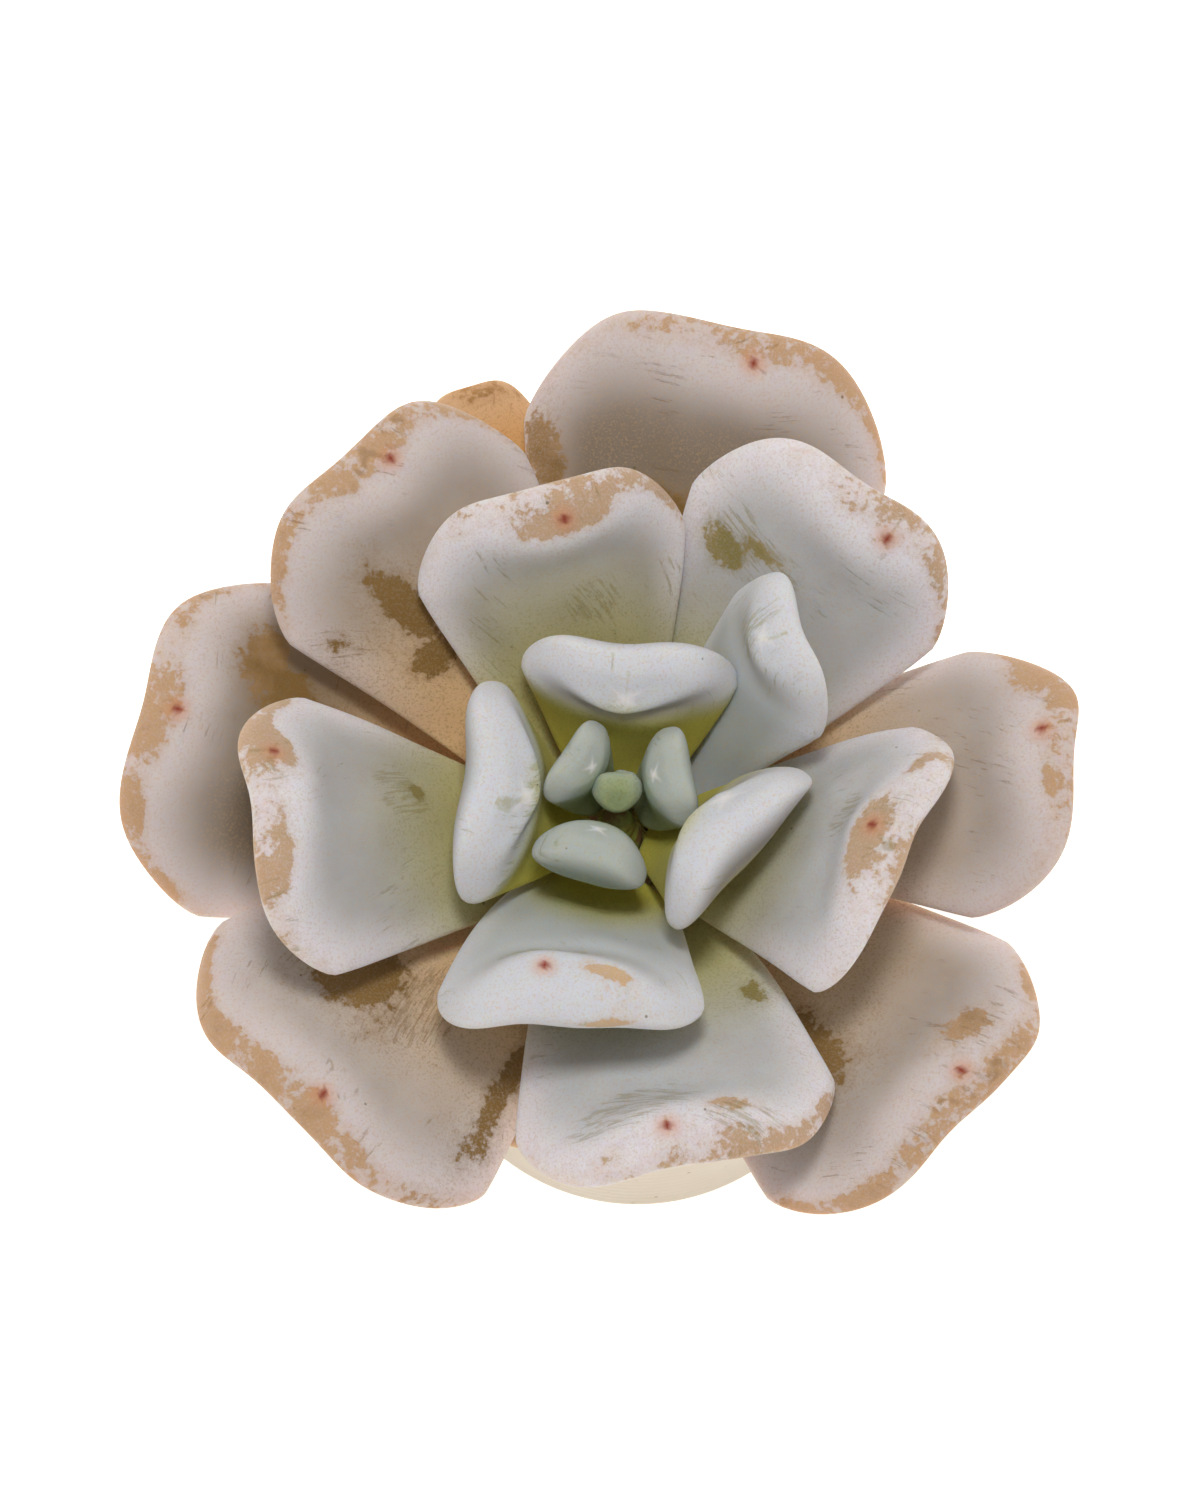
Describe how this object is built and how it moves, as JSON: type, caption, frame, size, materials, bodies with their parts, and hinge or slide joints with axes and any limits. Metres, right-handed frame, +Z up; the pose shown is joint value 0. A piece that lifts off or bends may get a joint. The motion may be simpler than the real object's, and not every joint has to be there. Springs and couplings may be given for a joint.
{
  "type": "potted succulent",
  "caption": "Small powdery rosette succulent with thick blunt leaves, rooted in soil in a plain round pot.",
  "frame": {"origin": "centre of the pot's flat underside", "axes": "+Z up along the pot's axis, -Y towards the viewer's side of the rosette, +X to the viewer's right"},
  "size_m": [0.0891, 0.0867, 0.0768],
  "materials": {
    "pot_ceramic": "matte",
    "soil": "rough",
    "stem": "matte",
    "leaf_bud": "powdery",
    "leaf_inner": "powdery",
    "leaf_middle": "powdery",
    "leaf_outer": "powdery",
    "leaf_hidden": "powdery"
  },
  "bodies": {
    "root": {"pot": "pot_ceramic", "soil": "soil", "stem": "stem", "bud_core": "leaf_bud", "bud_left": "leaf_bud", "bud_right": "leaf_bud", "bud_front": "leaf_bud", "bud_back": "leaf_bud", "inner_right": "leaf_inner", "inner_left": "leaf_inner", "inner_back": "leaf_inner", "inner_front": "leaf_inner", "inner_back_right": "leaf_inner", "middle_right": "leaf_middle", "middle_back": "leaf_middle", "middle_left": "leaf_middle", "middle_back_right": "leaf_middle", "middle_front": "leaf_middle", "outer_back_left": "leaf_outer", "outer_right": "leaf_outer", "outer_back": "leaf_outer", "outer_front_left": "leaf_outer", "hidden_back": "leaf_hidden", "outer_left": "leaf_outer", "outer_front_right": "leaf_outer", "hidden_front": "leaf_hidden"}
  },
  "joints": []
}
